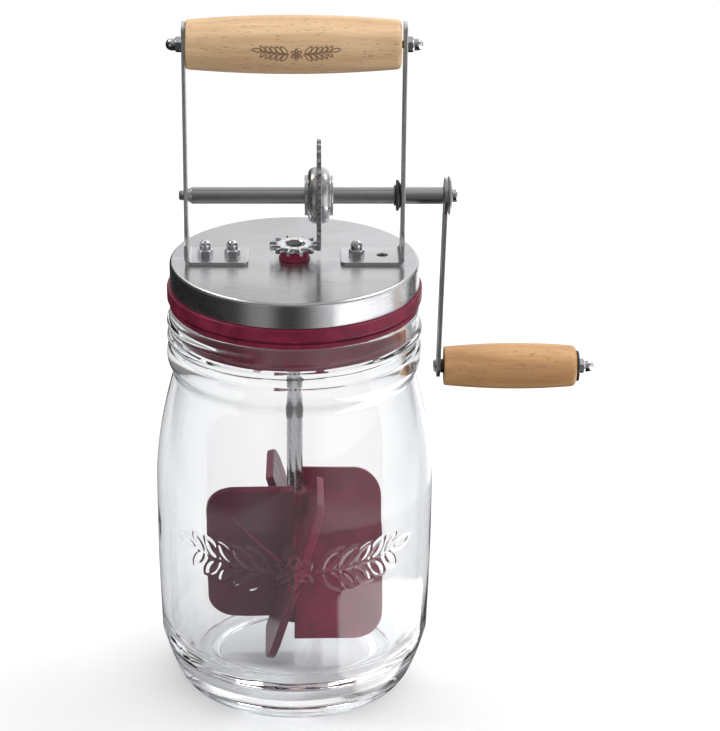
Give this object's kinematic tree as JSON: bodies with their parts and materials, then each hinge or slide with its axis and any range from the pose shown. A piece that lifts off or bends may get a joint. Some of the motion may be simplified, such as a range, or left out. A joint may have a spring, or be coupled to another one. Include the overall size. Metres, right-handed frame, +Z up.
{
  "type": "butter churn",
  "caption": "Hand-cranked glass jar butter churn: lift-off steel lid with wooden carrying handle, flat gear drive and a silicone paddle.",
  "frame": {"origin": "on the table, under the middle of the whole churn with the crank included; the jar's axis is 32.4 mm towards -X", "axes": "+Z up along the jar, +X along the drive shaft towards the crank grip, -Y the front"},
  "size_m": [0.1784, 0.1136, 0.2835],
  "materials": {
    "clear_glass": "clear moulded soda glass",
    "brushed_steel": "brushed stainless",
    "polished_steel": "polished stainless",
    "dark_steel": "dark oiled steel",
    "silicone": "satin burgundy silicone",
    "beech": "oiled turned beech"
  },
  "bodies": {
    "jar": {"jar": "clear_glass"},
    "lid": {"lid_cap": "brushed_steel", "lid_seal": "silicone", "rod_bush": "silicone", "left_bracket": "brushed_steel", "right_bracket": "brushed_steel", "left_outer_foot_bolt": "brushed_steel", "left_inner_foot_bolt": "brushed_steel", "right_inner_foot_bolt": "brushed_steel", "left_outer_foot_nut": "polished_steel", "left_inner_foot_nut": "polished_steel", "right_inner_foot_nut": "polished_steel", "handle_grip": "beech", "handle_tie_rod": "brushed_steel", "handle_nut_left": "polished_steel", "handle_nut_right": "polished_steel"},
    "crank": {"drive_shaft": "brushed_steel", "shaft_clip": "dark_steel", "drive_gear": "brushed_steel", "gear_hub_left": "polished_steel", "gear_hub_right": "polished_steel", "crank_arm": "brushed_steel", "crank_dome_washer": "brushed_steel", "crank_nut": "polished_steel", "crank_spindle": "brushed_steel", "crank_inner_washer": "dark_steel", "crank_outer_washer": "dark_steel", "crank_cap_nut": "polished_steel"},
    "crank_grip": {"crank_grip": "beech"},
    "rotor": {"pinion": "brushed_steel", "paddle_rod": "polished_steel", "rod_clip": "dark_steel", "paddle": "silicone"}
  },
  "joints": [
    {"name": "lid_lift", "type": "slide", "parent": "jar", "child": "lid", "axis": [0, 0, 1], "range_m": [0, 0.17]},
    {"name": "crank_turn", "type": "hinge", "parent": "lid", "child": "crank", "pos_m": [0, 0, 0.2106], "axis": [1, 0, 0], "continuous": true},
    {"name": "grip_spin", "type": "hinge", "parent": "crank", "child": "crank_grip", "pos_m": [0.055, 0, 0.1374], "axis": [1, 0, 0], "continuous": true},
    {"name": "paddle_spin", "type": "hinge", "parent": "lid", "child": "rotor", "pos_m": [-0.0324, 0, 0.12], "axis": [0, 0, 1], "continuous": true}
  ],
  "couplings": [
    {"joint": "paddle_spin", "follows": "crank_turn", "ratio": 2.25}
  ]
}
